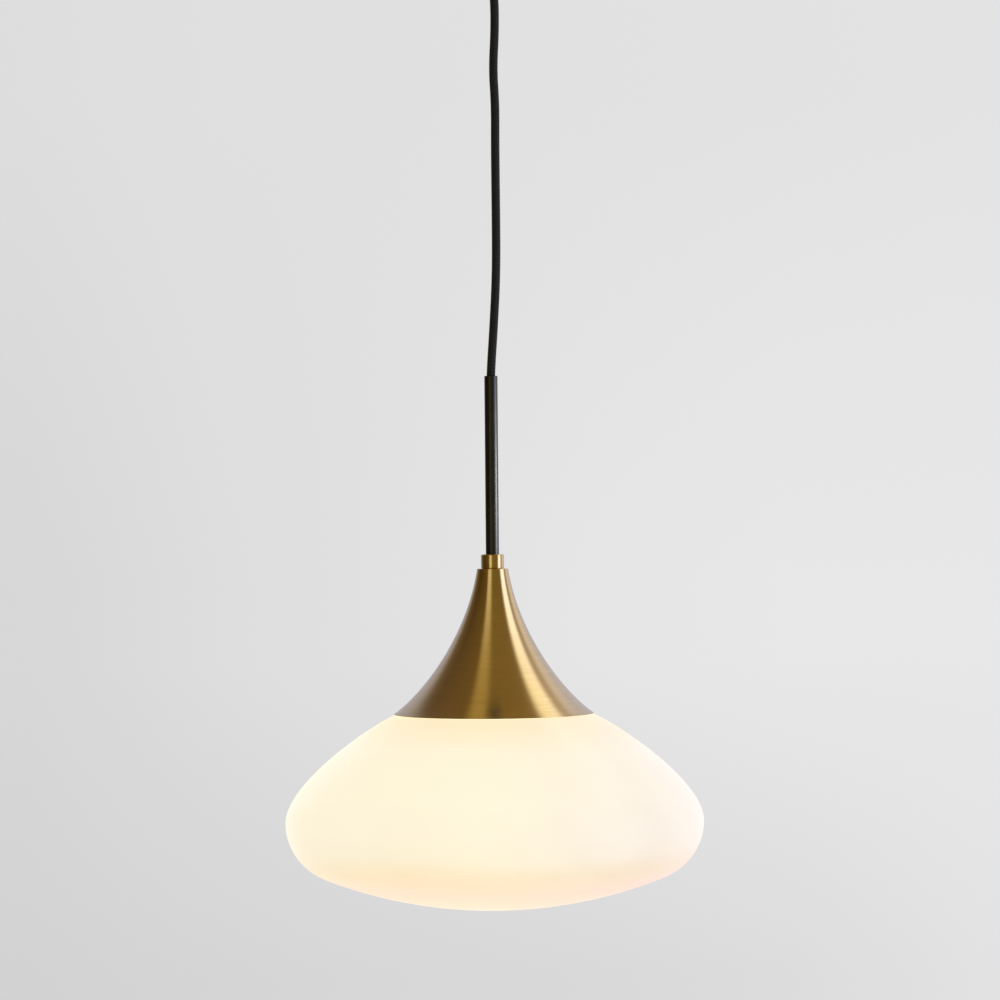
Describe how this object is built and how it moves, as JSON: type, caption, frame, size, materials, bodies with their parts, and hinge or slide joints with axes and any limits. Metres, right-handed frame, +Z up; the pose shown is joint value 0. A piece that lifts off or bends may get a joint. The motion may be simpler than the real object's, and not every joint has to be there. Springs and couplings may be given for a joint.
{
  "type": "pendant ceiling light",
  "caption": "Pendant ceiling light: textile cord, slim black stem, flared brass cover and a wide closed opal glass shade over a screw-in lamp.",
  "frame": {"origin": "in the ceiling, at the middle of the crossbar's top face, on the stem's axis", "axes": "+Z straight up into the ceiling, along the hanging cord and the stem; +X to the right of the light as it is seen"},
  "size_m": [0.3166, 0.3166, 0.7828],
  "materials": {
    "zinc_steel": "satin",
    "nickel": "polished",
    "black_coat": "satin",
    "black_nylon": "matte",
    "black_rubber": "matte",
    "black_textile": "matte",
    "brushed_brass": "satin",
    "plain_brass": "satin",
    "opal_glass": "gloss",
    "phenolic": "satin",
    "steatite": "gloss",
    "spring_steel": "polished",
    "wire_black": "gloss",
    "wire_white": "gloss",
    "wire_green": "gloss",
    "green_screw": "gloss",
    "connector_plastic": "satin",
    "bulb_plastic": "satin",
    "bulb_diffuser": "matte",
    "bulb_insulator": "gloss",
    "solder": "satin",
    "board": "satin",
    "emitter": "satin",
    "driver_board": "satin"
  },
  "bodies": {
    "ceiling": {"crossbar": "zinc_steel", "ground_screw": "green_screw", "canopy": "black_coat", "canopy_screws": "plain_brass", "grip_body": "black_nylon", "grip_nut": "zinc_steel", "grip_seal": "black_rubber", "grip_cap": "black_nylon", "cord_tail": "black_textile", "lead_line": "wire_black", "lead_neutral": "wire_white", "lead_earth": "wire_green", "wire_nuts": "connector_plastic"},
    "cord_bend": {"cord_stub": "black_textile"},
    "lamp": {"cord": "black_textile", "cord_in_stem": "black_textile", "cord_stop": "zinc_steel", "stem": "black_coat", "cover_spacer": "zinc_steel", "gallery_nut": "zinc_steel", "gallery": "zinc_steel", "lock_washer": "zinc_steel", "neck_gasket": "black_rubber", "glass_spring_1": "spring_steel", "glass_spring_2": "spring_steel", "glass_spring_3": "spring_steel", "spring_rivets": "zinc_steel", "lampholder_cap": "phenolic", "lampholder_insert": "steatite", "lampholder_body": "phenolic", "screw_shell": "nickel", "centre_contact": "plain_brass", "terminal_screws": "plain_brass", "earth_screw": "green_screw", "wire_line": "wire_black", "wire_neutral": "wire_white", "wire_earth": "wire_green"},
    "cover": {"trumpet": "brushed_brass", "collar": "brushed_brass", "collar_nut": "plain_brass", "collar_screw": "zinc_steel"},
    "diffuser": {"glass_shade": "opal_glass"},
    "bulb_travel": {"bulb_tip": "solder"},
    "bulb": {"bulb_insulator": "bulb_insulator", "bulb_cap": "nickel", "bulb_housing": "bulb_plastic", "bulb_globe": "bulb_diffuser", "light_board": "board", "light_emitters": "emitter", "bulb_driver": "driver_board"}
  },
  "joints": [
    {"name": "swing_side", "type": "hinge", "parent": "ceiling", "child": "cord_bend", "pos_m": [0, 0, -0.0445], "axis": [0, 1, 0], "range_deg": [-20, 20]},
    {"name": "swing_fore", "type": "hinge", "parent": "cord_bend", "child": "lamp", "pos_m": [0, 0, -0.0445], "axis": [1, 0, 0], "range_deg": [-20, 20]},
    {"name": "cover_lift", "type": "slide", "parent": "lamp", "child": "cover", "axis": [0, 0, 1], "range_m": [0, 0.12]},
    {"name": "glass_lower", "type": "slide", "parent": "lamp", "child": "diffuser", "axis": [0, 0, -1], "range_m": [0, 0.16], "deforming": ["glass_spring_1", "glass_spring_2", "glass_spring_3"]},
    {"name": "bulb_travel", "type": "slide", "parent": "lamp", "child": "bulb_travel", "axis": [0, 0, -1], "range_m": [0, 0.01452]},
    {"name": "bulb_turn", "type": "hinge", "parent": "bulb_travel", "child": "bulb", "pos_m": [0, 0, -0.6952], "axis": [0, 0, -1], "range_deg": [0, 1440]}
  ],
  "couplings": [
    {"joint": "bulb_travel", "follows": "bulb_turn", "m_per_rad": 0.00057751}
  ]
}
